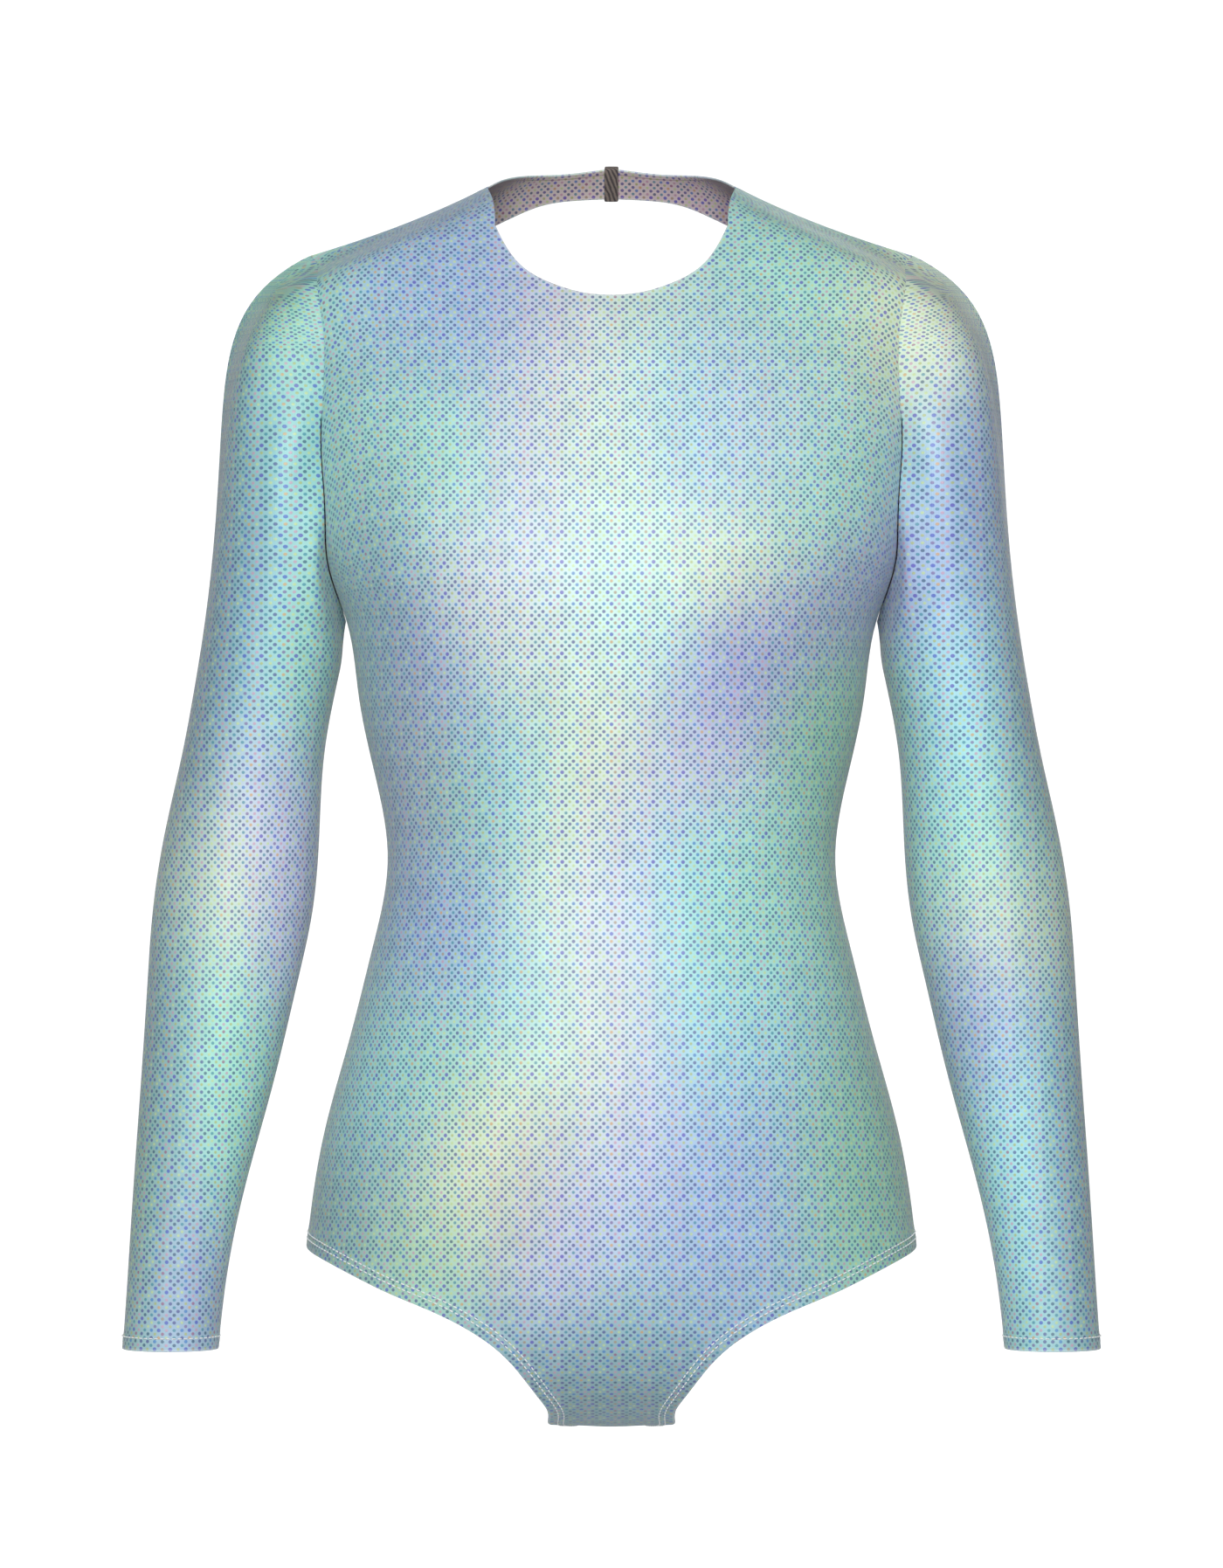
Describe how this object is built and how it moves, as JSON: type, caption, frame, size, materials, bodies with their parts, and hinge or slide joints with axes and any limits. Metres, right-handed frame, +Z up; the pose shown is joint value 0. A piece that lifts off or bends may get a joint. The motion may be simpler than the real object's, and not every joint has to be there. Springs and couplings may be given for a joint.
{
  "type": "long-sleeved leotard",
  "caption": "Close-fitting long-sleeved leotard filled out as worn with nobody in it: scoop neck, open back under a narrow neck band with a closure loop, high-cut leg openings.",
  "frame": {"origin": "middle of the shoulder line, halfway between the two points where the shoulder seams meet the neck", "axes": "+Z up, the front faces -Y, the wearer's left arm is at +X"},
  "size_m": [0.5216, 0.2328, 0.6836],
  "materials": {
    "front": "shimmering stretch knit printed with small foil dots in pale aqua, lilac and green",
    "back": "the same dotted foil stretch knit",
    "sleeve_left": "the same dotted foil stretch knit",
    "sleeve_right": "the same dotted foil stretch knit",
    "back_neckband": "foil stretch knit outside, dull mauve-grey inside",
    "closure_loop": "dark matt stretch tape"
  },
  "bodies": {
    "root": {"front": "front", "back": "back", "back_neckband": "back_neckband", "sleeve_left": "sleeve_left", "sleeve_right": "sleeve_right", "closure_loop": "closure_loop"}
  },
  "joints": []
}
